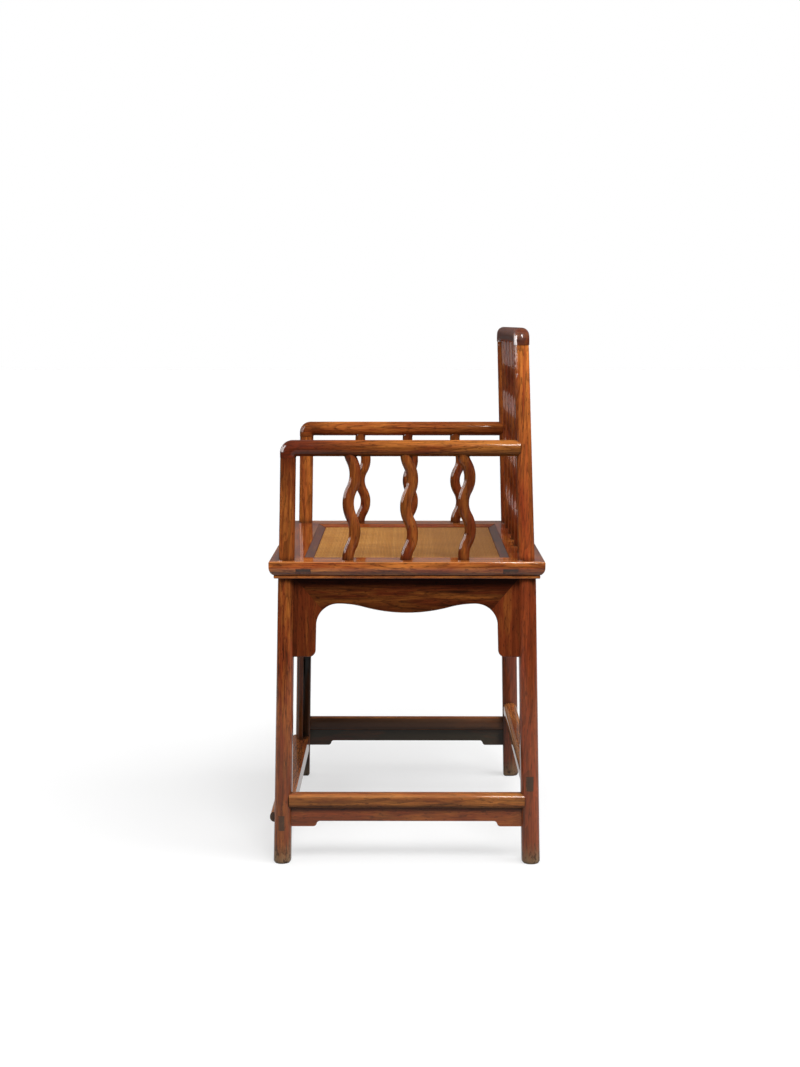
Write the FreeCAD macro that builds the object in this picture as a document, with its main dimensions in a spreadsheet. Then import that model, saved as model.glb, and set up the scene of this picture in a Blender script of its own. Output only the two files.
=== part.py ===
import FreeCAD
import Part
import Sketcher
import math
import os
from FreeCAD import Placement, Rotation, Vector
from types import SimpleNamespace

# Low-back armchair of joined hardwood with wavy spindles and a woven cane seat, in millimetres.
# +Z is up, the front faces -Y and the sitter's left is +X. The origin is on the floor under
# the middle of the chair. Members are joined by tenons, tongues, mitres and coped shoulders.

DRIVING = {
    # Seat frame and the mat in it
    "seat_width": 580.0,
    "seat_depth": 440.6,
    "seat_height": 496.0,
    "seat_thick": 28.0,
    "rail_flat": 54.0,
    "strip_wide": 14.0,
    "mat_ledge": 9.0,
    "mat_depth": 7.0,
    "mat_thick": 2.0,
    "mat_press": 0.5,
    "web_thick": 3.5,
    "lip_inset": 7.5,
    "lip_high": 5.0,
    "lip_round": 2.0,
    "quirk": 1.2,
    "belly_high": 19.0,
    "belly_bend": 16.0,
    "edge_round": 1.6,
    "rail_tenon_wide": 24.0,
    "rail_tenon_high": 8.4,
    "rail_tenon_low": 8.0,
    "rail_tenon_inset": 1.0,
    # Posts, which lean inwards as they rise
    "post_x": 262.0,
    "front_post_y": 193.1,
    "back_post_y": 192.3,
    "lean_x": 0.0265,
    "lean_y": 0.0203,
    "back_lean": 0.0320,
    "front_foot_radius": 14.1,
    "front_hip_radius": 13.5,
    "back_foot_radius": 14.8,
    "back_hip_radius": 14.4,
    "neck_radius": 12.75,
    "arm_post_radius": 12.6,
    "crest_post_radius": 11.9,
    "corner_ease": 3.0,
    "foot_wear": 2.0,
    "foot_wear_high": 3.0,
    "peg_radius": 6.5,
    "peg_high": 13.0,
    # Crest rail and arm rails, whose ends turn down on the posts
    "crest_height": 866.0,
    "crest_bar": 25.4,
    "arm_height": 688.0,
    "arm_bar": 26.0,
    "elbow_bend": 20.5,
    "elbow_drop": 1.6,
    "bar_flat": 0.8,
    "arm_tip": 180.5,
    # Wavy spindles, cut by eye: the pitch of each wave and the height where it starts
    "back_spindles": 5.0,
    "spindle_thick": 18.4,
    "swing": 5.4,
    "overrun": 5.0,
    "left_pitch_1": 92.0,
    "left_pitch_2": 88.0,
    "left_pitch_3": 84.0,
    "left_start_1": -1.0,
    "left_start_2": -3.0,
    "left_start_3": 7.0,
    "right_pitch": 80.0,
    "back_waves": 4.0,
    "left_gap": 93.0,
    "left_shift": 3.5,
    "right_gap": 91.0,
    "right_shift": 6.5,
    "spindle_peg": 5.0,
    "spindle_peg_high": 14.0,
    # Aprons below the seat
    "board_thick": 8.0,
    "board_inset": 1.5,
    "board_ease": 1.2,
    "tongue": 3.0,
    "side_clear": 146.0,
    "front_clear": 217.5,
    "back_clear": 212.0,
    "arch_rise": 42.4,
    "arch_dip": 57.2,
    "arch_corner": 36.0,
    "dip_share": 0.626,
    "toe_round": 11.0,
    "side_drop": 129.0,
    "back_drop": 96.0,
    # Stretchers and the strips below them
    "footrest_top": 81.0,
    "footrest_thick": 27.0,
    "footrest_front": 223.5,
    "footrest_back": 189.0,
    "footrest_nose": 17.0,
    "nose_round": 7.5,
    "nose_inset": 15.0,
    "nose_fillet": 4.0,
    "stretcher_tip": 266.0,
    "stretcher_bar": 25.0,
    "stretcher_round": 9.0,
    "side_stretcher_z": 102.6,
    "side_stretcher_tip": 191.0,
    "back_stretcher_z": 133.0,
    "side_tenon_wide": 9.0,
    "side_tenon_high": 16.0,
    "side_tenon_deep": 17.0,
    "front_tenon_wide": 10.0,
    "front_tenon_y": 203.6,
    "back_tenon_wide": 12.2,
    "back_tenon_y": 198.6,
    "tenon_high": 24.0,
    "strip_thick": 7.0,
    "strip_drop": 21.4,
    "bracket_drop": 8.8,
    "bracket_run": 11.0,
    "bracket_long": 38.0,
    # Bowed braces below the mat
    "brace_x": 95.0,
    "brace_wide": 24.0,
    "brace_thick": 16.0,
    "brace_bow": 18.0,
    "brace_top": 13.0,
    "brace_tenon": 12.0,
    "brace_tenon_high": 9.0,
    # Palm-fibre webbing
    "web_columns": 18.0,
    "web_rows": 13.0,
    "web_cord": 4.5,
    # Play between a tenon and its mortise
    "play": 0.12,
}

LEFT, RIGHT = 1, -1
FRONT, BACK = -1, 1
SIDE_NAMES = {LEFT: "left", RIGHT: "right"}
END_NAMES = {FRONT: "front", BACK: "back"}
NEAR = 0.01
# How far a cutter runs past the face it cuts, and a tenon back into its own member
PAST, INTO = 1.0, 5.0


class Size:
    """A length in millimetres together with the sheet expression that gives it."""

    def __init__(self, value, text):
        self.value = value
        self.text = text

    def __add__(self, other):
        other = as_size(other)
        return Size(self.value + other.value, f"({self.text} + {other.text})")

    def __sub__(self, other):
        other = as_size(other)
        return Size(self.value - other.value, f"({self.text} - {other.text})")

    def __mul__(self, other):
        other = as_size(other)
        return Size(self.value * other.value, f"({self.text} * {other.text})")

    def __truediv__(self, other):
        other = as_size(other)
        return Size(self.value / other.value, f"({self.text} / {other.text})")

    def __radd__(self, other):
        return as_size(other) + self

    def __rsub__(self, other):
        return as_size(other) - self

    def __rmul__(self, other):
        return as_size(other) * self

    def __neg__(self):
        return self * -1


def root(size):
    return Size(math.sqrt(size.value), f"sqrt({size.text})")


def as_size(thing):
    if isinstance(thing, Size):
        return thing
    return Size(float(thing), f"({float(thing)})")


def make_sheet():
    sheet = doc.addObject("Spreadsheet::Sheet", "Sizes")
    for row, (alias, value) in enumerate(DRIVING.items(), start=1):
        sheet.set(f"A{row}", alias)
        sheet.set(f"B{row}", str(value))
        sheet.setAlias(f"B{row}", alias)
    doc.recompute()
    sizes = {alias: Size(float(sheet.get(alias)), f"Sizes.{alias}") for alias in DRIVING}
    return SimpleNamespace(**sizes)


# Document helpers

def bind(thing, prop, size):
    thing.setExpression(prop, as_size(size).text)


def new_body(name):
    return doc.addObject("PartDesign::Body", name)


def new_sketch(body, plane, offset=0):
    planes = {feature.Role: feature for feature in body.Origin.OriginFeatures}
    sketch = body.newObject("Sketcher::SketchObject", "Outline")
    sketch.AttachmentSupport = [(planes[plane], "")]
    sketch.MapMode = "FlatFace"
    bind(sketch, "AttachmentOffset.Base.z", offset)
    return sketch


def held_point(edge, end, x, y):
    """Rules that hold one point of an edge at x, y from the sketch's origin."""
    return [
        (Sketcher.Constraint("DistanceX", -1, 1, edge, end, as_size(x).value), x),
        (Sketcher.Constraint("DistanceY", -1, 1, edge, end, as_size(y).value), y),
    ]


def held_radius(edge, radius):
    return [(Sketcher.Constraint("Radius", edge, as_size(radius).value), radius)]


def constrain(sketch, rules):
    """Adds rules to a sketch, each a constraint with the size that drives it, or None."""
    numbers = sketch.addConstraint([rule for rule, size in rules])
    for number, (rule, size) in zip(numbers, rules):
        if size is not None:
            bind(sketch, f"Constraints[{number}]", size)


def arc_between(start, end, radius, turn):
    """Arc of under a half circle from start to end, turning left for 1 and right for -1."""
    chord = end - start
    side = Vector(-chord.y, chord.x, 0).normalize() * turn
    centre = (start + end) / 2 + side * math.sqrt(max(radius ** 2 - chord.Length ** 2 / 4, 0))
    first, last = (start, end) if turn > 0 else (end, start)
    angles = [math.atan2(p.y - centre.y, p.x - centre.x) for p in (first, last)]
    return Part.ArcOfCircle(Part.Circle(centre, Vector(0, 0, 1), radius), *angles)


def trace(sketch, points, closed=True):
    """Draws edges from point to point and ties every point and radius to the sheet.

    A point is (x, y) where a straight edge leads to it, or (x, y, radius, turn) where an arc
    does. Where the outline is closed, the first point's radius belongs to the last edge.
    """
    spots = [Vector(as_size(p[0]).value, as_size(p[1]).value, 0) for p in points]
    targets = list(range(1, len(points))) + ([0] if closed else [])
    edges, tips, rules = [], [], []
    for target in targets:
        start, end = spots[target - 1], spots[target]
        bend = points[target][2:]
        turns_right = bool(bend) and bend[1] < 0
        if bend:
            edges.append(arc_between(start, end, as_size(bend[0]).value, bend[1]))
        else:
            edges.append(Part.LineSegment(start, end))
        tips.append((2, 1) if turns_right else (1, 2))
    for edge, target in enumerate(targets):
        follower = (edge + 1) % len(targets)
        if closed or follower:
            ends = (edge, tips[edge][1], follower, tips[follower][0])
            rules.append((Sketcher.Constraint("Coincident", *ends), None))
        rules += held_point(edge, tips[edge][1], *points[target][:2])
        if len(points[target]) > 2:
            rules += held_radius(edge, points[target][2])
    if not closed:
        rules += held_point(0, tips[0][0], *points[0][:2])
    sketch.addGeometry(edges, False)
    constrain(sketch, rules)


def disc(body, z, x, y, radius):
    """Sketch of one circle in a level plane."""
    sketch = new_sketch(body, "XY_Plane", z)
    centre = Vector(as_size(x).value, as_size(y).value, 0)
    sketch.addGeometry(Part.Circle(centre, Vector(0, 0, 1), as_size(radius).value), False)
    constrain(sketch, held_point(0, 3, x, y) + held_radius(0, radius))
    return sketch


def pad(body, sketch, length, symmetric=False, backwards=False):
    feature = body.newObject("PartDesign::Pad", "Pad")
    feature.Profile = sketch
    feature.SideType = "Symmetric" if symmetric else "One side"
    feature.Reversed = backwards
    bind(feature, "Length", length)
    return feature


def loft(body, sketches):
    feature = body.newObject("PartDesign::AdditiveLoft", "Loft")
    feature.Profile = sketches[0]
    feature.Sections = sketches[1:]
    feature.Ruled = True
    return feature


def fillet(body, feature, radius, wanted):
    """Rounds the edges of a feature that pass the test wanted, which is given their points."""
    doc.recompute()
    edges = enumerate(feature.Shape.Edges, start=1)
    names = [f"Edge{number}" for number, edge in edges if wanted([v.Point for v in edge.Vertexes])]
    rounded = body.newObject("PartDesign::Fillet", "Fillet")
    rounded.Base = (feature, names)
    bind(rounded, "Radius", radius)
    return rounded


def block(name, low, high):
    """Box between two corners."""
    box = doc.addObject("Part::Box", name)
    for axis, prop, begin, end in zip("xyz", ("Length", "Width", "Height"), low, high):
        bind(box, f"Placement.Base.{axis}", begin)
        bind(box, prop, end - begin)
    return box


def peg(name, x, y, low, high, radius):
    """Upright cylinder."""
    cylinder = doc.addObject("Part::Cylinder", name)
    bind(cylinder, "Placement.Base.x", x)
    bind(cylinder, "Placement.Base.y", y)
    bind(cylinder, "Placement.Base.z", low)
    bind(cylinder, "Height", high - low)
    bind(cylinder, "Radius", radius)
    return cylinder


def cut(name, base, tools):
    """Takes each tool in turn out of base."""
    for tool in tools:
        result = doc.addObject("Part::Cut", name)
        result.Base = base
        result.Tool = tool
        base = result
    return base


def join(name, shapes):
    result = doc.addObject("Part::MultiFuse", name)
    result.Shapes = shapes
    return result


def overlap(name, first, second):
    result = doc.addObject("Part::Common", name)
    result.Base = first
    result.Tool = second
    return result


def finish(name, thing):
    """Names a finished piece of the chair."""
    thing.Label = name
    pieces[name] = thing
    return thing


# Lines that several members share

def seat_under():
    return D.seat_height - D.seat_thick


def post_x(z):
    return D.post_x + D.lean_x * (D.seat_height - z)


def post_y(z, end):
    """Distance of a front or back post from the middle; back posts lean more above the seat."""
    place = D.front_post_y if end == FRONT else D.back_post_y
    lean = D.back_lean if end == BACK and as_size(z).value > D.seat_height.value else D.lean_y
    return place + lean * (D.seat_height - z)


def hip_radius(end):
    return D.front_hip_radius if end == FRONT else D.back_hip_radius


def foot_radius(end):
    return D.front_foot_radius if end == FRONT else D.back_foot_radius


def leg_radius(z, end):
    return foot_radius(end) + (hip_radius(end) - foot_radius(end)) * z / seat_under()


def leg_spread(end):
    """How much the gap beside a leg widens downwards, as its face turns out less than it leans."""
    return (foot_radius(end) - hip_radius(end)) / seat_under()


def arm_joint():
    return D.arm_height - D.arm_bar - D.elbow_drop


def crest_joint():
    return D.crest_height - D.crest_bar - D.elbow_drop


# Posts

def leg_section(body, z, side, end, wear=0):
    """Level section of a leg: round outside, square towards the inside of the chair."""
    radius = leg_radius(z, end) - wear
    eased = radius - D.corner_ease
    turn = side * end

    def place(across, along, *bend):
        spot = (side * (post_x(z) - across), end * (post_y(z, end) - along))
        return spot + ((bend[0], turn) if bend else ())

    sketch = new_sketch(body, "XY_Plane", z)
    trace(sketch, [
        place(radius, 0, radius),
        place(radius, eased),
        place(eased, radius, D.corner_ease),
        place(0, radius),
        place(-radius, 0, radius),
        place(0, -radius, radius),
    ])
    return sketch


def post_blank(side, end):
    """Foot, leg, neck through the seat frame and upper post, in one piece, with its top tenon."""
    body = new_body(f"{END_NAMES[end]}_post_{SIDE_NAMES[side]}_blank")
    loft(body, [leg_section(body, z, side, end) for z in (D.foot_wear_high, seat_under())])
    loft(body, [
        leg_section(body, D.foot_wear_high, side, end),
        leg_section(body, as_size(0), side, end, D.foot_wear),
    ])
    neck_spot = (side * D.post_x, end * post_y(D.seat_height, end))
    pad(body, disc(body, seat_under(), *neck_spot, D.neck_radius), D.seat_thick)
    top, radius = (arm_joint(), D.arm_post_radius) if end == FRONT else (crest_joint(), D.crest_post_radius)
    top_spot = (side * post_x(top), end * post_y(top, end))
    loft(body, [
        disc(body, D.seat_height, *neck_spot, D.neck_radius),
        disc(body, top, *top_spot, radius),
    ])
    pad(body, disc(body, top, *top_spot, D.peg_radius), D.peg_high)
    return body


def post_socket(side, end):
    """Room for the post's top tenon in the rail above."""
    top = arm_joint() if end == FRONT else crest_joint()
    high = top + D.peg_high + 2 * D.play
    spot = (side * post_x(top), end * post_y(top, end))
    return peg("socket", *spot, top - PAST, high, D.peg_radius + D.play)


def neck_hole(side, end):
    """Hole at a corner of the seat frame where the post passes through."""
    spot = (side * D.post_x, end * post_y(D.seat_height, end))
    radius = D.neck_radius + D.play / 4
    return peg("neck_hole", *spot, seat_under() - PAST, D.seat_height + PAST, radius)


# Crest rail and arm rails

def round_bar(body, bar, width, centre, axis, is_end):
    """Rounds the long edges of a bar that was padded square across the given axis."""
    face = width.value / 2 - NEAR

    def wanted(spots):
        on_side = all(abs(getattr(p, axis) - centre.value) > face for p in spots)
        return on_side and not any(all(test(p) for p in spots) for test in is_end)

    fillet(body, bar, (width - D.bar_flat) / 2, wanted)


def crest_blank():
    """Round rail whose ends turn down to meet the back posts."""
    body = new_body("crest_blank")
    joint, top, low = crest_joint(), D.crest_height, D.crest_height - D.crest_bar
    outer, inner = post_x(joint) + D.crest_bar / 2, post_x(joint) - D.crest_bar / 2
    bend, nook = D.elbow_bend, D.elbow_drop / 2
    sketch = new_sketch(body, "XZ_Plane", -post_y(joint, BACK))
    trace(sketch, [
        (outer, joint),
        (outer, top - bend),
        (outer - bend, top, bend, 1),
        (bend - outer, top),
        (-outer, top - bend, bend, 1),
        (-outer, joint),
        (-inner, joint),
        (-inner, low - nook),
        (nook - inner, low, nook, -1),
        (inner - nook, low),
        (inner, low - nook, nook, -1),
        (inner, joint),
    ])
    bar = pad(body, sketch, D.crest_bar, symmetric=True)
    round_bar(body, bar, D.crest_bar, post_y(joint, BACK), "y", [lambda p: p.z < joint.value + NEAR])
    return body


def arm_blank(side):
    """Round rail whose front end turns down on the front post."""
    body = new_body(f"arm_{SIDE_NAMES[side]}_blank")
    joint, top, low = arm_joint(), D.arm_height, D.arm_height - D.arm_bar
    outer, inner = post_y(joint, FRONT) + D.arm_bar / 2, post_y(joint, FRONT) - D.arm_bar / 2
    bend, nook = D.elbow_bend, D.elbow_drop / 2
    sketch = new_sketch(body, "YZ_Plane", side * post_x(joint))
    trace(sketch, [
        (D.arm_tip, low),
        (D.arm_tip, top),
        (bend - outer, top),
        (-outer, top - bend, bend, 1),
        (-outer, joint),
        (-inner, joint),
        (-inner, low - nook),
        (nook - inner, low, nook, -1),
    ])
    bar = pad(body, sketch, D.arm_bar, symmetric=True)
    ends = [lambda p: p.z < joint.value + NEAR, lambda p: p.y > D.arm_tip.value - NEAR]
    round_bar(body, bar, D.arm_bar, side * post_x(joint), "x", ends)
    return body


def arm_tenon(side, play=0):
    """Round tenon at the rear end of an arm rail, level in the back post."""
    level = D.arm_height - D.arm_bar / 2
    tenon = doc.addObject("Part::Cylinder", "arm_tenon")
    tenon.Placement = Placement(Vector(), Rotation(Vector(1, 0, 0), -90))
    bind(tenon, "Placement.Base.x", side * post_x(level))
    bind(tenon, "Placement.Base.y", D.arm_tip - D.peg_high)
    bind(tenon, "Placement.Base.z", level)
    bind(tenon, "Radius", D.peg_radius + play)
    bind(tenon, "Height", post_y(level, BACK) - D.arm_tip + D.peg_high + D.peg_radius + play)
    return tenon


# Wavy spindles

def wave_points(pitch, start, length):
    """Path of equal arcs that swing to either side, with both ends run on into the rails."""
    quarter = pitch / 4
    bend = (quarter * quarter + D.swing * D.swing) / (2 * D.swing)
    level, turn, end = start + quarter, 1, length + D.overrun
    points = [(-D.swing, -2 * D.overrun), (-D.swing, start), (0, level, bend, -1)]
    while (level + 2 * quarter).value < end.value:
        level = level + 2 * quarter
        points.append((0, level, bend, turn))
        turn = -turn
    short = level + quarter - end
    tip = turn * (D.swing - bend + root(bend * bend - short * short))
    return points + [(tip, end, bend, turn)]


def spindle_blank(name, foot, head, wave_way, wave):
    """Round spindle swept along the wave, between a point on the seat and one under a rail."""
    body = new_body(f"{name}_blank")
    points = wave_points(*wave, head[2] - foot[2])
    path = new_sketch(body, "XZ_Plane")
    trace(path, points, closed=False)
    pipe = body.newObject("PartDesign::AdditivePipe", "Pipe")
    pipe.Profile = disc(body, -2 * D.overrun, -D.swing, 0, D.spindle_thick / 2)
    pipe.Spine = (path, [f"Edge{number}" for number in range(1, len(points))])
    rise = Vector(*(h.value - f.value for f, h in zip(foot, head)))
    body.Placement = Placement(Vector(), Rotation(wave_way, Vector(), rise, "ZXY"))
    for axis, size in zip("xyz", foot):
        bind(body, f"Placement.Base.{axis}", size)
    return body


def spindle_pegs(foot, head, wave_way, wave, play=0):
    """Tenons at the two ends of a spindle, or with play the mortises for them."""
    points = wave_points(*wave, head[2] - foot[2])
    low_shift, high_shift = points[0][0], points[-1][0]
    radius = D.spindle_peg + play
    deep = D.spindle_peg_high + play
    foot_spot = [foot[0] + wave_way.x * low_shift, foot[1] + wave_way.y * low_shift]
    head_spot = [head[0] + wave_way.x * high_shift, head[1] + wave_way.y * high_shift]
    return [
        peg("foot_peg", *foot_spot, foot[2] - deep, foot[2] + PAST, radius),
        peg("head_peg", *head_spot, head[2] - PAST, head[2] + deep, radius),
    ]


def arm_waves(side):
    """Pitch and start of each arm spindle's wave, counted from the front."""
    if side == RIGHT:
        return [(D.right_pitch, as_size(0))] * 3
    return [
        (D.left_pitch_1, D.left_start_1),
        (D.left_pitch_2, D.left_start_2),
        (D.left_pitch_3, D.left_start_3),
    ]


def arm_spindle_line(side, place):
    """Foot and head of an arm spindle, placed from the middle one; the row fans with the posts."""
    head_z = D.arm_height - D.arm_bar
    gap, shift = (D.left_gap, D.left_shift) if side == LEFT else (D.right_gap, D.right_shift)
    foot_y = shift + place * gap
    foot = (side * D.post_x, foot_y, D.seat_height)
    head = (side * post_x(head_z), foot_y * post_y(head_z, FRONT) / D.front_post_y, head_z)
    return foot, head


def back_spindle_line(number):
    """Foot and head of a back spindle, counted from the sitter's right."""
    head_z = D.crest_height - D.crest_bar
    place = as_size(2 * number) / (D.back_spindles + 1) - 1
    foot = (place * D.post_x, D.back_post_y, D.seat_height)
    head = (place * post_x(head_z), post_y(head_z, BACK), head_z)
    return foot, head


# Seat frame

def rail_section(side, half):
    """Section of a seat rail: moulded outer edge, and inner steps for the mat and its webbing."""
    top, under = D.seat_height, seat_under()
    flat = half - D.rail_flat
    inner = flat - D.strip_wide
    lip = half - D.lip_inset
    ledge = top - D.mat_depth
    quirk_top = under + D.lip_high + D.quirk
    belly_foot = half - D.lip_inset + D.quirk
    outline = [
        (inner, under),
        (lip - D.lip_round, under),
        (lip, under + D.lip_round, D.lip_round),
        (lip, under + D.lip_high),
        (lip - D.quirk, under + D.lip_high),
        (lip - D.quirk, quirk_top),
        (belly_foot, quirk_top),
        (half, under + D.belly_high, D.belly_bend),
        (half, top - D.edge_round),
        (half - D.edge_round, top, D.edge_round),
        (flat, top),
        (flat, ledge),
        (inner + D.strip_wide - D.mat_ledge, ledge),
        (inner + D.strip_wide - D.mat_ledge, ledge - D.web_thick),
        (inner, ledge - D.web_thick),
    ]
    return [(side * p[0], p[1]) + ((p[2], side) if len(p) > 2 else ()) for p in outline]


def strip_section(side, half):
    """Section of a mat strip: it slopes down from the frame's top towards the mat."""
    outer = half - D.rail_flat - D.play
    inner = half - D.rail_flat - D.strip_wide
    low = D.seat_height - D.mat_depth + D.mat_thick - D.mat_press
    outline = [
        (inner, low),
        (outer, low),
        (outer, D.seat_height - D.play),
        (inner + D.edge_round, low + D.edge_round),
        (inner, low + D.edge_round / 2),
    ]
    return [(side * p[0], p[1]) for p in outline]


def mitred_bar(name, plane, section, length, mitre):
    """Bar with a section drawn across it and its ends cut by the two mitre triangles."""
    body = new_body(name)
    sketch = new_sketch(body, plane)
    trace(sketch, section)
    pad(body, sketch, length, symmetric=True)
    for triangle in mitre:
        plan = new_sketch(body, "XY_Plane", D.seat_height + PAST)
        trace(plan, triangle)
        pocket = body.newObject("PartDesign::Pocket", "Mitre")
        pocket.Profile = plan
        pocket.Type = "ThroughAll"
    return body


def mitre_triangles(side, outer, half_length, depth, along_x):
    """Plan of what a mitre takes off the two ends of a bar."""
    triangles = []
    for end in (1, -1):
        corners = [
            (side * outer, end * half_length),
            (side * (outer - depth), end * (half_length - depth)),
            (side * (outer - depth), end * half_length),
        ]
        triangles.append([(b, a) if along_x else (a, b) for a, b in corners])
    return triangles


def rail_blank(side, along_x):
    """Front or back rail (along X) or side rail (along Y) with mitred ends, before its mortises."""
    half, reach = (D.seat_depth / 2, D.seat_width / 2) if along_x else (D.seat_width / 2, D.seat_depth / 2)
    depth = D.rail_flat + D.strip_wide
    plane = "YZ_Plane" if along_x else "XZ_Plane"
    triangles = mitre_triangles(side, half, reach, depth, along_x)
    return mitred_bar("rail_blank", plane, rail_section(side, half), 2 * reach, triangles)


def mat_strip(side, along_x):
    half, reach = (D.seat_depth / 2, D.seat_width / 2) if along_x else (D.seat_width / 2, D.seat_depth / 2)
    outer, long = half - D.rail_flat - D.play, reach - D.rail_flat - D.play
    plane = "YZ_Plane" if along_x else "XZ_Plane"
    triangles = mitre_triangles(side, outer, long, D.strip_wide, along_x)
    return mitred_bar("mat_strip", plane, strip_section(side, half), 2 * long, triangles)


def rail_tenon_box(side, end, play=0):
    """Box of the tenon that joins a front or back rail through a side rail."""
    inner = D.seat_depth / 2 - D.rail_flat - D.strip_wide + D.rail_tenon_inset
    low = seat_under() + D.rail_tenon_low
    near_x = side * (D.seat_width / 2 - D.rail_flat - D.strip_wide - INTO)
    far_x = side * (D.seat_width / 2 + PAST)
    near_y, far_y = end * (inner - play), end * (inner + D.rail_tenon_wide + play)
    xs = (near_x, far_x) if side > 0 else (far_x, near_x)
    ys = (near_y, far_y) if end > 0 else (far_y, near_y)
    return block("rail_tenon", (xs[0], ys[0], low - play), (xs[1], ys[1], low + D.rail_tenon_high + play))


def brace(side):
    """Brace below the mat, bowed down between the front and back rails."""
    body = new_body("brace")
    inner = D.seat_depth / 2 - D.rail_flat - D.strip_wide
    top = D.seat_height - D.brace_top
    low = top - D.brace_thick
    tip = inner + D.brace_tenon
    tenon_low = low + (D.brace_thick - D.brace_tenon_high) / 2
    tenon_top = tenon_low + D.brace_tenon_high
    bend = (inner * inner + D.brace_bow * D.brace_bow) / (2 * D.brace_bow)
    sketch = new_sketch(body, "YZ_Plane", side * D.brace_x)
    trace(sketch, [
        (-inner, low),
        (inner, low, bend, 1),
        (inner, tenon_low),
        (tip, tenon_low),
        (tip, tenon_top),
        (inner, tenon_top),
        (inner, top),
        (-inner, top, bend, -1),
        (-inner, tenon_top),
        (-tip, tenon_top),
        (-tip, tenon_low),
        (-inner, tenon_low),
    ])
    pad(body, sketch, D.brace_wide, symmetric=True)
    return body


def mat():
    """Cane mat on the rails' ledge and the webbing, with its border pressed down by the strips."""
    low = D.seat_height - D.mat_depth
    top = low + D.mat_thick
    border_x = D.seat_width / 2 - D.rail_flat - D.play
    border_y = D.seat_depth / 2 - D.rail_flat - D.play
    border = block("border", (-border_x, -border_y, low), (border_x, border_y, top - D.mat_press))
    field_x, field_y = border_x - D.strip_wide, border_y - D.strip_wide
    field = block("field", (-field_x, -field_y, low), (field_x, field_y, top))
    return join("mat", [border, field])


def webbing():
    """Net of palm-fibre cords below the mat: one plate with rows and columns of gaps."""
    body = new_body("webbing")
    edge = D.rail_flat + D.mat_ledge + D.play
    half_x, half_y = D.seat_width / 2 - edge, D.seat_depth / 2 - edge
    low = D.seat_height - D.mat_depth - D.web_thick
    plate = new_sketch(body, "XY_Plane", low)
    trace(plate, [(-half_x, -half_y), (half_x, -half_y), (half_x, half_y), (-half_x, half_y)])
    pad(body, plate, D.web_thick)
    pitch_x = (2 * half_x - D.web_cord) / D.web_columns
    pitch_y = (2 * half_y - D.web_cord) / D.web_rows
    left, bottom = D.web_cord - half_x, D.web_cord - half_y
    right, top = left + pitch_x - D.web_cord, bottom + pitch_y - D.web_cord
    gap = new_sketch(body, "XY_Plane", low + D.web_thick)
    trace(gap, [(left, bottom), (right, bottom), (right, top), (left, top)])
    pocket = body.newObject("PartDesign::Pocket", "Gap")
    pocket.Profile = gap
    pocket.Type = "ThroughAll"
    doc.recompute()
    pattern = body.newObject("PartDesign::LinearPattern", "Gaps")
    pattern.Originals = [pocket]
    pattern.Direction = (gap, ["H_Axis"])
    pattern.Direction2 = (gap, ["V_Axis"])
    bind(pattern, "Length", pitch_x * (D.web_columns - 1))
    bind(pattern, "Length2", pitch_y * (D.web_rows - 1))
    bind(pattern, "Occurrences", D.web_columns)
    bind(pattern, "Occurrences2", D.web_rows)
    body.Tip = pattern
    return body


# Aprons below the seat

def apron_lines(clear, dip, drop, free, leg_top, splay):
    """Points that an apron's top board and its spandrels share, from the middle outwards.

    Free spandrels end in the air, the others stand in a groove of the footrest.
    """
    lines = SimpleNamespace(clear=clear, dip=dip, drop=drop, free=free)
    lines.rise, lines.corner = D.arch_rise, D.arch_corner
    lines.peak = clear - lines.corner
    lines.spring_v = -lines.rise - lines.corner
    half_turn = lines.corner * math.sqrt(0.5)
    lines.mitre = (lines.peak + half_turn, lines.spring_v + half_turn)
    lines.outer = (leg_top + D.tongue, D.tongue)
    lines.outer_low = leg_top + D.tongue + splay * drop
    lines.toe = clear + splay * (drop + lines.spring_v)
    return lines


def board_outline(lines):
    """Top board: straight top, mitred ends and an arched lower edge with a drop in the middle."""
    mitre_u, mitre_v = lines.mitre
    outer_u, outer_v = lines.outer
    head = [(outer_u, outer_v), (-outer_u, outer_v), (-mitre_u, mitre_v)]
    left_peak = (-lines.peak, -lines.rise, lines.corner, -1)
    tail = [(mitre_u, mitre_v, lines.corner, -1)]
    if lines.dip is None:
        return head + [left_peak, (lines.peak, -lines.rise)] + tail
    fall = lines.dip - lines.rise
    sweep = (lines.peak * lines.peak + fall * fall) / (2 * fall)
    drop_bend, peak_bend = D.dip_share * sweep, (1 - D.dip_share) * sweep
    turn_u, turn_v = D.dip_share * lines.peak, D.dip_share * fall - lines.dip
    return head + [
        left_peak,
        (-turn_u, turn_v, peak_bend, -1),
        (turn_u, turn_v, drop_bend, 1),
        (lines.peak, -lines.rise, peak_bend, -1),
    ] + tail


def spandrel_outline(lines, hand):
    """Spandrel beside one leg, with a rounded toe where it ends free."""
    mitre_u, mitre_v = lines.mitre
    outer_u, outer_v = lines.outer
    toe = [(lines.toe, -lines.drop)]
    if lines.free:
        toe = [
            (lines.toe + D.toe_round, -lines.drop),
            (lines.toe, D.toe_round - lines.drop, D.toe_round, -1),
        ]
    outline = [
        (mitre_u, mitre_v, lines.corner, 1),
        (outer_u, outer_v),
        (lines.outer_low, -lines.drop),
        *toe,
        (lines.clear, lines.spring_v),
    ]
    return [(hand * p[0], p[1]) + ((p[2], hand * p[3]) if len(p) > 2 else ()) for p in outline]


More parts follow.
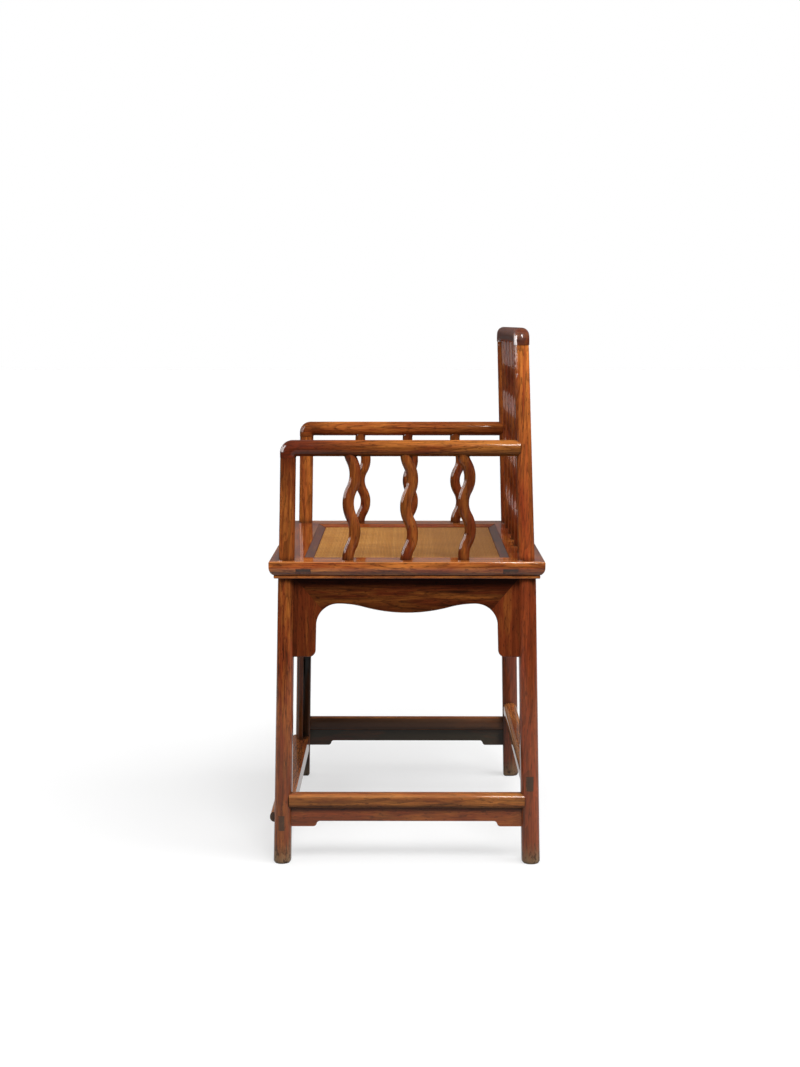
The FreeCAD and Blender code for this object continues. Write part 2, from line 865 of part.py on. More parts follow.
def apron_board(name, outline, facing, ease_below):
    """Board with the outline, placed below the seat's edge and leaning with the legs.

    Facing is the outward direction: (side, 0) for a side apron, (0, end) for front or back.
    Its edges are eased below the given level.
    """
    body = new_body(name)
    side, end = facing
    plane, outward = ("YZ_Plane", side) if side else ("XZ_Plane", -end)
    sketch = new_sketch(body, plane, -outward * D.board_inset)
    trace(sketch, outline)
    board = pad(body, sketch, D.board_thick, backwards=outward < 0)
    through = "x" if side else "y"

    def free_edge(spots):
        in_face = abs(getattr(spots[0], through) - getattr(spots[-1], through)) < NEAR
        return in_face and all(p.z < ease_below.value + NEAR for p in spots)

    fillet(body, board, D.board_ease, free_edge)
    lean = D.lean_x if side else D.lean_y
    axis = Vector(0, -side, 0) if side else Vector(end, 0, 0)
    body.Placement = Placement(Vector(), Rotation(axis, math.degrees(math.atan(lean.value))))
    bind(body, "Placement.Base.x", side * post_x(seat_under()))
    bind(body, "Placement.Base.y", end * post_y(seat_under(), end))
    bind(body, "Placement.Base.z", seat_under())
    return body


def apron(facing, lines, board_name, spandrel_names):
    """Three pieces of one apron: the top board, then the spandrels at -u and +u."""
    board = finish(board_name, apron_board(board_name, board_outline(lines), facing, -lines.rise))
    spandrels = [
        finish(name, apron_board(name, spandrel_outline(lines, hand), facing, lines.mitre[1]))
        for hand, name in zip((-1, 1), spandrel_names)
    ]
    return [board] + spandrels


def side_apron(side):
    under = seat_under()
    splay = D.lean_y - leg_spread(FRONT)
    leg_top = post_y(under, FRONT) - hip_radius(FRONT)
    lines = apron_lines(D.side_clear, D.arch_dip, D.side_drop, True, leg_top, splay)
    hand = SIDE_NAMES[side]
    names = [f"side_spandrel_{hand}_{END_NAMES[end]}" for end in (FRONT, BACK)]
    return apron((side, 0), lines, f"side_apron_{hand}", names)


def cross_apron(end):
    """Front apron with spandrels down to the footrest, or the plain back apron with short ones."""
    under = seat_under()
    splay = D.lean_x - leg_spread(end)
    clear, dip, drop = D.back_clear, None, D.back_drop
    if end == FRONT:
        clear, dip, drop = D.front_clear, D.arch_dip, under - D.footrest_top + D.tongue
    lines = apron_lines(clear, dip, drop, end == BACK, post_x(under) - hip_radius(end), splay)
    names = [f"{END_NAMES[end]}_spandrel_{SIDE_NAMES[side]}" for side in (RIGHT, LEFT)]
    return apron((0, end), lines, f"{END_NAMES[end]}_apron", names)


# Stretchers

def rounded_section(u, z, bar, corner):
    """Square section with rounded corners about the point u, z."""
    half = bar / 2
    flat = half - corner
    outline = []
    for a, b in ((1, 1), (-1, 1), (-1, -1), (1, -1)):
        first, second = (u + a * half, z + b * flat), (u + a * flat, z + b * half)
        begin, end = (first, second) if a * b > 0 else (second, first)
        outline += [begin, end + (corner, 1)]
    return outline


def footrest_section():
    """Section of the footrest: a deep rail whose top runs forward into a rounded nose."""
    top, low = D.footrest_top, D.footrest_top - D.footrest_thick
    nose_low, tip = top - D.footrest_nose, -D.footrest_front
    root = D.nose_inset - D.footrest_front
    return [
        (-D.footrest_back, low),
        (-D.footrest_back, top),
        (tip + D.nose_round, top),
        (tip, top - D.nose_round, D.nose_round, 1),
        (tip, nose_low + D.nose_round),
        (tip + D.nose_round, nose_low, D.nose_round, 1),
        (root - D.nose_fillet, nose_low),
        (root, nose_low - D.nose_fillet, D.nose_fillet, -1),
        (root, low),
    ]


def bar_blank(name, plane, section, length):
    body = new_body(name)
    sketch = new_sketch(body, plane)
    trace(sketch, section)
    pad(body, sketch, length, symmetric=True)
    return body


def cross_tenon_box(side, end, play=0):
    """Through tenon of the footrest or the back stretcher, in the leg at one side."""
    wide, y = (D.front_tenon_wide, -D.front_tenon_y) if end == FRONT else (D.back_tenon_wide, D.back_tenon_y)
    middle = D.footrest_top - D.footrest_thick / 2 if end == FRONT else D.back_stretcher_z
    inner = post_x(middle) - leg_radius(middle, end) - D.tongue
    outer = post_x(middle) + leg_radius(middle, end) + PAST
    xs = (side * inner, side * outer) if side > 0 else (side * outer, side * inner)
    half_y, half_z = wide / 2 + play, D.tenon_high / 2 + play
    return block("cross_tenon", (xs[0], y - half_y, middle - half_z), (xs[1], y + half_y, middle + half_z))


def side_tenon_box(side, end, play=0):
    """Blind tenon of a side stretcher in one leg."""
    z = D.side_stretcher_z
    face = post_y(z, end) - leg_radius(z, end)
    near, far = end * (face - D.tongue), end * (face + D.side_tenon_deep + play)
    ys = (near, far) if end > 0 else (far, near)
    half_x, half_z = D.side_tenon_wide / 2 + play, D.side_tenon_high / 2 + play
    x = side * post_x(z)
    return block("side_tenon", (x - half_x, ys[0], z - half_z), (x + half_x, ys[1], z + half_z))


def strip_outline(reach, top):
    """Apron strip below a stretcher: straight lower edge with a bracket at either end."""
    low = top - D.strip_drop
    toe = low - D.bracket_drop
    heel = reach - D.bracket_long
    half_run, half_drop = D.bracket_run / 2, D.bracket_drop / 2
    bend = (half_run * half_run + half_drop * half_drop) / (2 * half_drop)
    return [
        (reach, top + D.tongue),
        (-reach, top + D.tongue),
        (-reach, toe),
        (-heel, toe),
        (half_run - heel, toe + half_drop, bend, 1),
        (D.bracket_run - heel, low, bend, -1),
        (heel - D.bracket_run, low),
        (heel - half_run, toe + half_drop, bend, -1),
        (heel, toe, bend, 1),
        (reach, toe),
    ]


def strip_board(name, plane, offset, reach, top):
    body = new_body(name)
    sketch = new_sketch(body, plane, offset)
    trace(sketch, strip_outline(reach, top))
    pad(body, sketch, D.strip_thick, symmetric=True)
    return body


def side_strip(side):
    top = D.side_stretcher_z - D.stretcher_bar / 2
    reach = post_y(top, FRONT) - leg_radius(top, FRONT) + D.tongue
    name = f"stretcher_strip_{SIDE_NAMES[side]}"
    return finish(name, strip_board(name, "YZ_Plane", side * post_x(top), reach, top))


def front_strip():
    top = D.footrest_top - D.footrest_thick
    reach = post_x(top) - leg_radius(top, FRONT) + D.tongue
    name = "footrest_strip"
    return finish(name, strip_board(name, "XZ_Plane", D.front_tenon_y - D.strip_thick / 2, reach, top))


# Assembly: each receiving member is cut by what is let into it

def build_stretchers(posts, strips, aprons):
    """Footrest, back stretcher and side stretchers, coped on the legs and tenoned into them."""
    spans = {
        "footrest": ("YZ_Plane", footrest_section(), D.stretcher_tip),
        "back_stretcher": ("YZ_Plane", rounded_section(
            D.back_tenon_y, D.back_stretcher_z, D.stretcher_bar, D.stretcher_round), D.stretcher_tip),
    }
    for side in (LEFT, RIGHT):
        section = rounded_section(side * post_x(D.side_stretcher_z), D.side_stretcher_z,
                                  D.stretcher_bar, D.stretcher_round)
        spans[f"side_stretcher_{SIDE_NAMES[side]}"] = ("XZ_Plane", section, D.side_stretcher_tip)
    ends = {
        "footrest": [(side, FRONT) for side in (LEFT, RIGHT)],
        "back_stretcher": [(side, BACK) for side in (LEFT, RIGHT)],
        "side_stretcher_left": [(LEFT, end) for end in (FRONT, BACK)],
        "side_stretcher_right": [(RIGHT, end) for end in (FRONT, BACK)],
    }
    lets = {
        "footrest": [strips["front"]] + aprons["front"][1:],
        "back_stretcher": [],
        "side_stretcher_left": [strips[LEFT]],
        "side_stretcher_right": [strips[RIGHT]],
    }
    for name, (plane, section, reach) in spans.items():
        shaft = cut(f"{name}_shaft", bar_blank(f"{name}_bar", plane, section, 2 * reach),
                    [posts[corner] for corner in ends[name]])
        tenon_box = side_tenon_box if name.startswith("side") else cross_tenon_box
        tenons = [overlap(f"{name}_tenon", tenon_box(*corner), posts[corner]) for corner in ends[name]]
        finish(name, cut(name, join(f"{name}_joined", [shaft] + tenons), lets[name]))


def build_seat(aprons, braces):
    """Four seat rails with their mortises, returned for the spindles to stand on."""
    sides = {side: rail_blank(side, along_x=False) for side in (LEFT, RIGHT)}
    rails = {}
    for end in (FRONT, BACK):
        tenons = [overlap("rail_end", rail_tenon_box(side, end), sides[side]) for side in (LEFT, RIGHT)]
        rail = join("rail_joined", [rail_blank(end, along_x=True)] + tenons)
        tools = [neck_hole(side, end) for side in (LEFT, RIGHT)] + aprons[END_NAMES[end]] + braces
        rails[END_NAMES[end]] = cut("rail_cut", rail, tools)
    for side in (LEFT, RIGHT):
        tools = [neck_hole(side, end) for end in (FRONT, BACK)] + aprons[side]
        tools += [rail_tenon_box(side, end, D.play) for end in (FRONT, BACK)]
        rails[side] = cut("rail_cut", sides[side], tools)
    return rails


def build_spindles(rails, arms, crest):
    """Spindles of both arms and the back, and the rails above and below with their mortises."""
    back_pitch = (D.crest_height - D.crest_bar - D.seat_height) / D.back_waves
    back_numbers = range(1, round(D.back_spindles.value) + 1)
    lines = {side: [arm_spindle_line(side, place) for place in (-1, 0, 1)] for side in (LEFT, RIGHT)}
    lines["back"] = [back_spindle_line(number) for number in back_numbers]
    waves = {side: arm_waves(side) for side in (LEFT, RIGHT)}
    waves["back"] = [(back_pitch, as_size(0))] * len(back_numbers)
    uppers = {LEFT: arms[LEFT], RIGHT: arms[RIGHT], "back": crest}
    titles = {LEFT: "arm_spindle_left", RIGHT: "arm_spindle_right", "back": "back_spindle"}
    for group, title in titles.items():
        way = Vector(1, 0, 0) if group == "back" else Vector(0, 1, 0)
        spindles = [(*line, way, wave) for line, wave in zip(lines[group], waves[group])]
        mortises = [spindle_pegs(*spindle, D.play) for spindle in spindles]
        rails[group] = cut("rail_mortised", rails[group], [low for low, high in mortises])
        uppers[group] = cut("upper_mortised", uppers[group], [high for low, high in mortises])
        for number, spindle in enumerate(spindles, start=1):
            name = f"{title}_{number}"
            whole = join(f"{name}_joined", [spindle_blank(name, *spindle)] + spindle_pegs(*spindle))
            finish(name, cut(name, whole, [rails[group], uppers[group]]))
    return uppers


def build_chair():
    corners = [(side, end) for side in (LEFT, RIGHT) for end in (FRONT, BACK)]
    blanks = {corner: post_blank(*corner) for corner in corners}
    aprons = {side: side_apron(side) for side in (LEFT, RIGHT)}
    aprons["front"] = cross_apron(FRONT)
    aprons["back"] = cross_apron(BACK)
    strips = {side: side_strip(side) for side in (LEFT, RIGHT)}
    strips["front"] = front_strip()
    build_stretchers(blanks, strips, aprons)
    for side, end in corners:
        tools = aprons[side] + aprons[END_NAMES[end]] + [strips[side]]
        tools += [cross_tenon_box(side, end, D.play), side_tenon_box(side, end, D.play)]
        tools += [strips["front"]] if end == FRONT else [arm_tenon(side, D.play)]
        name = f"{END_NAMES[end]}_post_{SIDE_NAMES[side]}"
        finish(name, cut(name, blanks[side, end], tools))
    braces = [finish(f"seat_brace_{SIDE_NAMES[side]}", brace(side)) for side in (LEFT, RIGHT)]
    rails = build_seat(aprons, braces)
    arms = {}
    for side in (LEFT, RIGHT):
        arm = cut("arm_coped", arm_blank(side), [blanks[side, BACK]])
        arm = join("arm_joined", [arm, overlap("arm_end", arm_tenon(side), blanks[side, BACK])])
        arms[side] = cut("arm_socketed", arm, [post_socket(side, FRONT)])
    crest = cut("crest_socketed", crest_blank(), [post_socket(side, BACK) for side in (LEFT, RIGHT)])
    uppers = build_spindles(rails, arms, crest)
    for group, name in ((LEFT, "arm_rail_left"), (RIGHT, "arm_rail_right"), ("back", "crest_rail")):
        finish(name, uppers[group])
    for group, name in ((LEFT, "left"), (RIGHT, "right"), ("front", "front"), ("back", "back")):
        finish(f"seat_rail_{name}", rails[group])
    for end in (FRONT, BACK):
        finish(f"mat_strip_{END_NAMES[end]}", mat_strip(end, along_x=True))
    for side in (LEFT, RIGHT):
        finish(f"mat_strip_{SIDE_NAMES[side]}", mat_strip(side, along_x=False))
    finish("cane_mat", mat())
    finish("palm_webbing", webbing())


def write_parts():
    failed = [thing.Name for thing in doc.Objects if {"Invalid", "Error"} & set(thing.State)]
    bad = [name for name, piece in pieces.items() if piece.Shape.isNull() or not piece.Shape.isValid()]
    if failed or bad:
        raise RuntimeError(f"failed objects {failed}, bad pieces {bad}")
    os.makedirs("parts", exist_ok=True)
    for name, piece in pieces.items():
        piece.Shape.exportStep(f"parts/{name}.step")
    print(len(pieces), "pieces written")


doc = FreeCAD.newDocument("low_back_armchair")
D = make_sheet()
pieces = {}
build_chair()
doc.recompute()
write_parts()
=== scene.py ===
import math

import bpy
from mathutils import Matrix, Vector


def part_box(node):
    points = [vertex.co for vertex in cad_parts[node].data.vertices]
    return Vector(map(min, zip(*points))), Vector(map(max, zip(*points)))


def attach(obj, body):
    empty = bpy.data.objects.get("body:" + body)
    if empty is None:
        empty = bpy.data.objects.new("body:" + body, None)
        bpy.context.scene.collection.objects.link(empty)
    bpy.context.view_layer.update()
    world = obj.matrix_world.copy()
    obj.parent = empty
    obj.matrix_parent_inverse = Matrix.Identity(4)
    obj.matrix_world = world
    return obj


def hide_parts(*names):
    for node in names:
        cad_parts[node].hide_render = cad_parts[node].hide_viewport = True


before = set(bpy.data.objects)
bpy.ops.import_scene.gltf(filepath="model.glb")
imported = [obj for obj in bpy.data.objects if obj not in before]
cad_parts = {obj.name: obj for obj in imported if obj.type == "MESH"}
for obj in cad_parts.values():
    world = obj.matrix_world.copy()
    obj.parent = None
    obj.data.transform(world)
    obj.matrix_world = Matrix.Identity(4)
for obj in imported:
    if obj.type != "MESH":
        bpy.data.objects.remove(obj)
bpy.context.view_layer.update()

# Low-back armchair of polished hardwood, with a woven cane mat on palm-fibre webbing.
# Metres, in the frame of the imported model: +Z up, the front faces -Y, sitter's left is +X.

X_AXIS, Y_AXIS, Z_AXIS = Vector((1, 0, 0)), Vector((0, 1, 0)), Vector((0, 0, 1))
SEAT_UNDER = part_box("seat_rail_left")[0].z
SEAT_LIP = SEAT_UNDER - 0.007
SOFT_NODES = ("cane_mat", "palm_webbing")
WHITE = (1, 1, 1, 1)

# Colours of the wood, as linear values
RED_WOOD = (0.27, 0.050, 0.013, 1)
GOLD_WOOD = (0.56, 0.185, 0.034, 1)
DARK_WOOD = (0.050, 0.013, 0.005, 1)
PORE = (0.035, 0.011, 0.005, 1)
# Dark red of handled wood, also painted as shade under the seat
HANDLED_AND_SHADED = (0.135, 0.021, 0.007, 1)
PALED = (0.74, 0.29, 0.060, 1)
END_GRAIN = (0.027, 0.017, 0.013, 1)
# Dark colour of dirt, also painted as shade in corners and recesses
DIRT_AND_SHADE = (0.0093, 0.0040, 0.0027, 1)
# Greyish colour low down: dust, and a painted reflection of the floor
DUST_AND_SHEEN = (0.20, 0.14, 0.085, 1)
WORN_FOOT = (0.190, 0.120, 0.061, 1)
# Lighter colour of worn upper edges, partly a painted highlight
EDGE_WEAR_AND_HIGHLIGHT_COLOUR = (0.373, 0.160, 0.050, 1)

# Colours of the cane and the palm fibre
CANE_DARK = (0.300, 0.120, 0.023, 1)
CANE_LIGHT = (0.413, 0.197, 0.049, 1)
CANE_STAIN = (0.227, 0.090, 0.022, 1)
CANE_BACK = (0.180, 0.080, 0.030, 1)
CANE_GAP_SHADE = (0.057, 0.024, 0.0087, 1)
FIBRE_DARK = (0.12, 0.062, 0.03, 1)
FIBRE_LIGHT = (0.34, 0.205, 0.105, 1)
FIBRE_GROOVE_SHADE = (0.05, 0.025, 0.012, 1)

# Members by the start of their name: grain direction, share of gold, lightness, strength of the figure.
# The lightness also paints light and shade, so like members differ: the side aprons below the seat
# darkest, the left back post lightest
MEMBERS = {
    "front_post": (Z_AXIS, 0.28, 0.87, 0.95),
    "front_post_right": (Z_AXIS, 0.40, 0.89, 0.85),
    "back_post": (Z_AXIS, 0.52, 1.40, 0.95),
    "back_post_right": (Z_AXIS, 0.40, 1.07, 0.95),
    "crest_rail": (X_AXIS, 0.10, 0.47, 0.4),
    "arm_rail_left": (Y_AXIS, 0.52, 0.73, 1.0),
    "arm_rail_right": (Y_AXIS, 0.60, 0.76, 0.8),
    "arm_spindle": (Z_AXIS, 0.26, 0.53, 0.5),
    "back_spindle": (Z_AXIS, 0.14, 0.74, 0.4),
    "seat_rail_left": (Y_AXIS, 0.50, 0.92, 0.8),
    "seat_rail_right": (Y_AXIS, 0.50, 0.87, 0.8),
    "seat_rail": (X_AXIS, 0.20, 0.70, 0.5),
    "mat_strip": (X_AXIS, 0.05, 0.30, 0.4),
    "mat_strip_left": (Y_AXIS, 0.15, 0.53, 0.4),
    "mat_strip_right": (Y_AXIS, 0.15, 0.53, 0.4),
    "side_apron": (Y_AXIS, 0.25, 0.31, 0.9),
    "side_spandrel": (Z_AXIS, -0.10, 0.40, 0.4),
    "side_spandrel_left_back": (Z_AXIS, -0.10, 0.52, 0.4),
    "front_apron": (X_AXIS, 0.34, 0.63, 0.6),
    "back_apron": (X_AXIS, 0.34, 0.60, 0.6),
    "front_spandrel": (Z_AXIS, 0.10, 0.63, 0.4),
    "back_spandrel": (Z_AXIS, 0.10, 0.57, 0.4),
    "side_stretcher": (Y_AXIS, 0.52, 0.68, 0.8),
    "stretcher_strip": (Y_AXIS, 0.12, 0.70, 0.4),
    "footrest_strip": (X_AXIS, 0.20, 0.73, 0.4),
    "footrest": (X_AXIS, 0.40, 0.77, 0.6),
    "back_stretcher": (X_AXIS, 0.45, 0.67, 0.6),
    "seat_brace": (Y_AXIS, 0.35, 0.47, 0.5),
}

# Weight and refraction of the polish, and the haze below it
PLAIN_POLISH = (0.9, 1.35, 0.0)
POLISH = {
    "crest_rail": (0.34, 2.4, 0.34),
    "arm_rail": (0.22, 1.5, 0.0),
    "back_spindle": (0.26, 1.35, 0.02),
    "side_stretcher": (0.6, 1.35, 0.0),
    "seat_rail": (1.0, 1.5, 0.0),
    "mat_strip": (0.75, 1.5, 0.0),
}
POLISH_ROUGHNESS = 0.07
RUBBED_POLISH = 0.8

# Where use has darkened or paled a member, and where shade is painted darker: axis, where it starts, where
# it is strongest, how much, colour
PATINA_AND_SHADE = {
    "arm_rail_left": [("Y", 0.04, -0.19, 0.98, HANDLED_AND_SHADED), ("Y", 0.00, 0.15, 0.42, PALED)],
    "arm_rail_right": [("Y", -0.12, -0.19, 0.62, HANDLED_AND_SHADED), ("Y", -0.04, 0.09, 0.62, HANDLED_AND_SHADED)],
    # Painted shade: the apron's top below the seat lip, and the posts below the seat. The front posts'
    # tops are darkened by use; the back posts are darker below the arms.
    "side_apron": [("Z", SEAT_LIP - 0.021, SEAT_LIP, 0.95, HANDLED_AND_SHADED)],
    "front_post": [("Z", 0.59, 0.665, 0.75, HANDLED_AND_SHADED), ("Z", 0.44, 0.25, 0.38, HANDLED_AND_SHADED)],
    "front_post_right": [("Z", 0.60, 0.67, 0.4, HANDLED_AND_SHADED), ("Z", 0.44, 0.25, 0.28, HANDLED_AND_SHADED)],
    "back_post": [("Z", 0.80, 0.67, 0.66, HANDLED_AND_SHADED), ("Z", 0.49, 0.44, 0.72, HANDLED_AND_SHADED)],
}

# How far the rounded upper edges of some members are worn lighter, partly a painted highlight where light
# from above catches them
EDGE_WEAR_AND_HIGHLIGHT = {"seat_rail": 0.6, "side_stretcher": 0.3, "footrest": 0.6, "back_stretcher": 0.5}

# How far end grain darkens the wood; less on the rails whose ends turn down
PLAIN_END = 0.9
ENDS = {"arm_rail": 0.3, "crest_rail": 0.3}

# Darker colour on the inward faces of some members, below the seat
INWARD_DARK = {
    "front_post": (0.0067, 0.0053, 0.0047, 1),
    "side_stretcher": (0.102, 0.046, 0.027, 1),
    "stretcher_strip": (0.046, 0.037, 0.024, 1),
}

# Noise in the wood: cycles per metre across and along the grain, detail, roughness, distortion
GRAIN = {
    "sway": (14, 3.5, 3.0, 0.5, 0.0),
    "mottle": (34, 9, 3.0, 0.6, 0.8),
    "flames": (75, 5, 6.0, 0.72, 0.6),
    "bundles": (30, 6, 2.0, 0.5, 0.5),
    "streaks": (240, 9, 5.0, 0.75, 0.4),
    "growth": (34, 2.4, 2.0, 0.5, 0.3),
    "bands": (52, 2.2, 2.0, 0.5, 0.4),
    "fibre": (420, 26, 4.0, 0.75, 0.0),
    "flecks": (430, 80, 2.0, 0.6, 0.0),
    "pores": (1700, 60, 1.0, 0.5, 0.0),
    "inward_patches": (30, 5, 4.0, 0.6, 0.0),
    "scuffs": (90, 22, 5.0, 0.7, 0.0),
    "foot_stains": (150, 70, 4.0, 0.7, 0.0),
}

# Ramp over each noise: where it starts and ends, then its values there if they aren't 0 and 1
SHOWS = {
    "mottle": (0.25, 0.75, -0.3, 0.3),
    "flames": (0.28, 0.72),
    "bundles": (0.40, 0.66),
    "streaks": (0.50, 0.62),
    "bands": (0.32, 0.66, 0.72, 1.2),
    "fibre": (0.25, 0.75),
    "flecks": (0.58, 0.68),
    "pores": (0.60, 0.70),
    "inward_patches": (0.30, 0.50, 0.55, 1.0),
    "foot_stains": (0.50, 0.60, 0.0, 0.75),
}

# Ramps in the same form, over growth, over the way a face looks, over openness and over height
LATE_WOOD = (-0.2, 1.0)
VEIN = (0.0, 0.4)
END_FACE = (0.80, 0.97)
INNER_FACE = (0.45, 0.75)
EDGE_START = (0.25, 0.5)
EDGE_STOP = (0.8, 0.95)
FREE_EDGE = (0.6, 0.9)
CORNER_UNDARKENED = (0.20, 0.88)
RECESS_UNDARKENED = (0.15, 0.75, 0.25, 1.0)
BELOW_SEAT = (SEAT_LIP, SEAT_UNDER, 1.0, 0.0)
DUST_AND_SHEEN_LOW = (0.34, 0.12, 0.0, 0.11)
BARE_FOOT = (0.024, 0.072, 0.9, 0.0)
STAINED_FOOT = (0.004, 0.045, 1.0, 0.0)
ROUGHNESS = (0.3, 1.0, 0.34, 0.5)

# Growth rings: how far the wood sways, where the pith lies, how close rings and veins are
SWAY = 0.03
PITH_AWAY = 0.055
PITH_TURN = 2.1
RINGS_PER_METRE = 150.0
VEINS_PER_SWELL = 15.0
SEED_SHIFT = Vector((3.7, 5.1, 2.3))

# Strength of the figure, of the dark lines and of the relief
PLAIN_SWING, FIGURE_SWING = 0.12, 0.42
RING_SHARE, VEIN_SHARE, FLECK_SHARE, PORE_SHARE = 0.14, 0.55, 0.6, 0.4
LEAST_STREAKS = 0.1
DARK_FIBRE, LIGHT_FIBRE = 0.78, 1.22
PORE_ROUGHNESS, BARE_ROUGHNESS = 0.3, 0.3
FIBRE_RELIEF = 0.35
WOOD_BUMP = (0.14, 0.0003)

# Reach of the dirt and painted shade in corners and in recesses, and of the scuffs on the feet
CORNER_REACH = 0.012
RECESS_REACH = 0.05
OPENNESS_SAMPLES = 6
SCUFF_REACH = 0.06

# Softened edges of the wood
EDGE_WIDTH = 0.0005
EDGE_STEPS = 2
EDGE_ANGLE = 38
WELD_GAP = 1e-5
LARGE_FACES_FIRST = 100

# Cane mat: strands and their fibres, stains, ramps of its colours, sheen and relief
STRAND = 0.0025
CROWN_POWER = 0.5
CROSSING_RISE = 0.7
FIBRES_ACROSS, FIBRES_ALONG = 2600, 160
STRAND_SALTS = (0.37, 9.13)
STAIN_CYCLES, STAIN_SHIFT = 14, (1.3, 0.4, 0)
STAIN_DETAIL, STAIN_ROUGHNESS = 4.0, 0.6
STAINED_CANE = (0.38, 0.72, 0.0, 0.55)
DARK_BACK = (-0.10, 0.14, 0.0, 0.62)
FIBRE_TINT = (0.25, 0.75, 0.82, 1.14)
ABOVE_GAP = (0.1, 0.55)
CANE_ROUGHNESS, CANE_SHEEN = 0.6, 0.05
CANE_BUMP = (0.7, 0.0006)

# Mesh of the mat, and how far it sinks in the middle and below the strips
MAT_COLUMNS, MAT_ROWS = 120, 84
SAG = 0.0016
PRESSED = 0.0006

# Palm-fibre cords, in pairs: count each way, thickness, half the space in a pair, how they weave
PAIRS_X, PAIRS_Y = 19, 14
CORD_RADIUS = 0.00165
PAIR_HALF = 0.0019
CORD_LIFT = 0.0009
CORD_DROP = 0.0008
POINTS_PER_CROSSING = 6
CORD_SIDES = 8

# Hair and twist of the cords
HAIR_CYCLES = 900
HAIR_DETAIL, HAIR_ROUGHNESS = 4.0, 0.7
TWIST = {"Scale": 210.0, "Distortion": 1.5, "Detail": 2.0}
TWIST_GAP = (0.0, 0.6, 0.5, 0.0)
CORD_ROUGHNESS = 0.85
CORD_BUMP = (0.6, 0.0008)

# Floor: half its side, grey for bounced light, for the camera and in the polish, and its glow
FLOOR_HALF = 30
FLOOR_BOUNCE, FLOOR_SEEN, FLOOR_MIRRORED = 0.15, 0.267, 0.033
FLOOR_GLOW = 0.555
SWEEP = (1.5, 2.5, 0.6, 0.0)

# Room: its light on the chair, its brightness for the camera, and what the polish adds from the horizon up
ROOM_LIGHT, ROOM_SEEN = 0.105, 1.0
HORIZON = (0.03, 0.14, -0.085, 0.095)

# Suns, which the polish doesn't show: direction, strength, angle in degrees
SUNS = {
    "overhead": ((-0.59, -0.080, -0.803), 2.13, 26),
    "right": ((-0.25, -0.60, -0.76), 2.78, 45),
    "left": ((0.05, 0.92, -0.38), 1.2, 60),
    "rear": ((0.85, 0.10, -0.50), 1.5, 60),
}

# Panels: place, point that they face, width, height, radiance, what shows them, members that they reach
ROUND_MEMBERS = ("arm_", "back_spindle", "crest", "front_post", "back_post")
MOULDED_MEMBERS = ROUND_MEMBERS + ("seat_rail", "side_stretcher")
PANELS = {
    "softbox": ((1.7, 0.2, 2.3), (0, 0, 0.6), 1.0, 1.0, 7.5, "matt", None),
    "softbox_card": ((1.7, 0.2, 2.3), (0, 0, 0.6), 1.0, 1.0, 5, "polish", None),
    "left_card": ((-0.80, -2.1, 1.2), (0, 0, 0.7), 1.4, 1.0, 6, "polish", ROUND_MEMBERS),
    "elbow_card": ((0.42, -2.0, 1.42), (0, 0, 0.7), 0.95, 1.4, 13, "polish", ROUND_MEMBERS),
    "back_card": ((-1.6, -1.5, 1.25), (0, 0, 0.7), 0.7, 0.95, 1.6, "polish", ROUND_MEMBERS),
    "strip_card": ((1.7, 0.33, 2.2), (0, 0.2, 0.7), 0.14, 0.9, 50, "polish", MOULDED_MEMBERS),
}

# Camera, fitted to the photo; its aim is a few of the photo's pixels to one side of the chair's middle
LENS_MM, SENSOR_MM = 58.1, 36
CAMERA_SPOT = (3.0012, 0, 0.8731)
CAMERA_PITCH = 0.1216
ASIDE_PIXELS, FOCAL_PIXELS = 7, 1722


